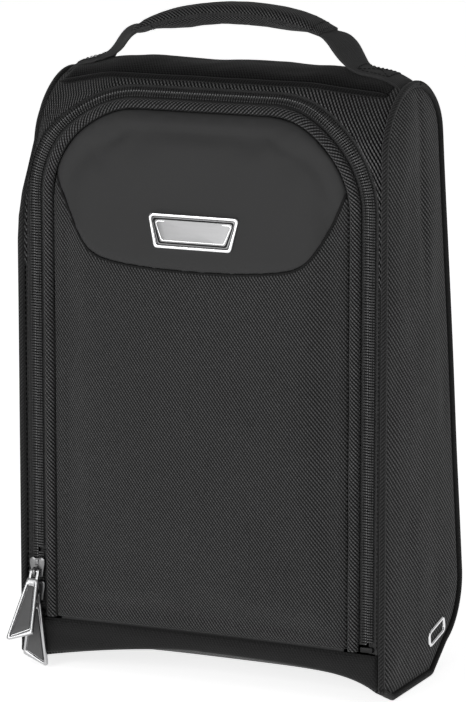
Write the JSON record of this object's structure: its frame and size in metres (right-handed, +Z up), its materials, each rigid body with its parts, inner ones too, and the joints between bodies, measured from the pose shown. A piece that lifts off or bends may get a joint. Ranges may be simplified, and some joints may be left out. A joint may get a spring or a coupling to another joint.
{
  "type": "golf shoe bag",
  "caption": "Soft golf shoe bag with a padded zip-round front flap, smooth upper panel, metal badge, top carry handle and hanging zip pulls.",
  "frame": {"origin": "on the floor plane, midway between the side seams, near the middle of the bag's depth", "axes": "+X to the right seen from the front, -Y towards the front flap, +Z up"},
  "size_m": [0.2318, 0.1437, 0.393],
  "materials": {
    "woven_fabric": "heavy plain weave, matt with small glints",
    "smooth_panel": "fine-grained coated fabric, satin",
    "binding": "rolled edge binding, matt",
    "lining": "light woven lining",
    "foam": "closed-cell foam padding",
    "board": "stiff base board",
    "zip_tape": "woven zip tape",
    "zip_coil": "nylon coil",
    "webbing": "ribbed webbing",
    "slider_metal": "dark nickel plated",
    "pull_metal": "satin nickel",
    "pull_inlay": "soft moulded inlay",
    "badge_metal": "satin silver",
    "badge_bright": "polished"
  },
  "bodies": {
    "bag": {"base_panel": "woven_fabric", "base_board": "board", "base_lining": "lining", "back_panel": "woven_fabric", "top_panel": "woven_fabric", "back_lining": "lining", "top_lining": "lining", "left_seam_binding": "binding", "right_seam_binding": "binding", "left_side_panel": "woven_fabric", "right_side_panel": "woven_fabric", "left_side_lining": "lining", "right_side_lining": "lining", "front_hem": "woven_fabric", "left_corner_gusset": "woven_fabric", "right_corner_gusset": "woven_fabric", "top_band": "woven_fabric", "band_piping": "binding", "zip_outer_tape": "zip_tape", "zip_outer_coil": "zip_coil", "zip_parked_tape": "zip_tape", "zip_parked_coil": "zip_coil", "zip_end_stops": "slider_metal", "left_strap_end": "webbing", "right_strap_end": "webbing", "side_badge": "badge_bright"},
    "flap": {"flap_main_panel": "woven_fabric", "flap_upper_panel": "smooth_panel", "flap_padding": "foam", "flap_lining": "lining", "flap_welt": "binding", "zip_inner_tape": "zip_tape", "zip_inner_coil": "zip_coil", "badge_plate": "badge_metal", "badge_rim": "badge_bright"},
    "handle": {"handle_grip": "woven_fabric", "handle_webbing": "webbing", "handle_padding": "foam", "left_strap_riser": "webbing", "right_strap_riser": "webbing"},
    "upper_slider": {"upper_slider": "slider_metal"},
    "lower_slider": {"lower_slider": "slider_metal"},
    "upper_pull": {"upper_pull_frame": "pull_metal", "upper_pull_inlay": "pull_inlay"},
    "lower_pull": {"lower_pull_frame": "pull_metal", "lower_pull_inlay": "pull_inlay"}
  },
  "joints": [
    {"name": "flap_hinge", "type": "hinge", "parent": "bag", "child": "flap", "pos_m": [0, -0.062, 0.03], "axis": [1, 0, 0], "range_deg": [0, 94]},
    {"name": "handle_swing", "type": "hinge", "parent": "bag", "child": "handle", "pos_m": [0, -0.02, 0.362], "axis": [1, 0, 0], "range_deg": [-45, 45], "stiffness_Nm_per_rad": 0.06, "deforming": ["left_strap_riser", "right_strap_riser"]},
    {"name": "upper_slider_travel", "type": "slide", "parent": "bag", "child": "upper_slider", "axis": [0, 0, 1], "range_m": [0, 0.2]},
    {"name": "lower_slider_travel", "type": "slide", "parent": "bag", "child": "lower_slider", "axis": [0, 0, 1], "range_m": [0, 0.1]},
    {"name": "upper_pull_swing", "type": "hinge", "parent": "upper_slider", "child": "upper_pull", "pos_m": [-0.1045, -0.0657, 0.058], "axis": [-1, 0, 0], "range_deg": [0, 105]},
    {"name": "lower_pull_swing", "type": "hinge", "parent": "lower_slider", "child": "lower_pull", "pos_m": [-0.1045, -0.0657, 0.044], "axis": [-1, 0, 0], "range_deg": [0, 105]}
  ],
  "couplings": [
    {"joint": "lower_slider_travel", "follows": "upper_slider_travel", "ratio": 0.5},
    {"joint": "lower_pull_swing", "follows": "upper_pull_swing", "ratio": 1}
  ]
}
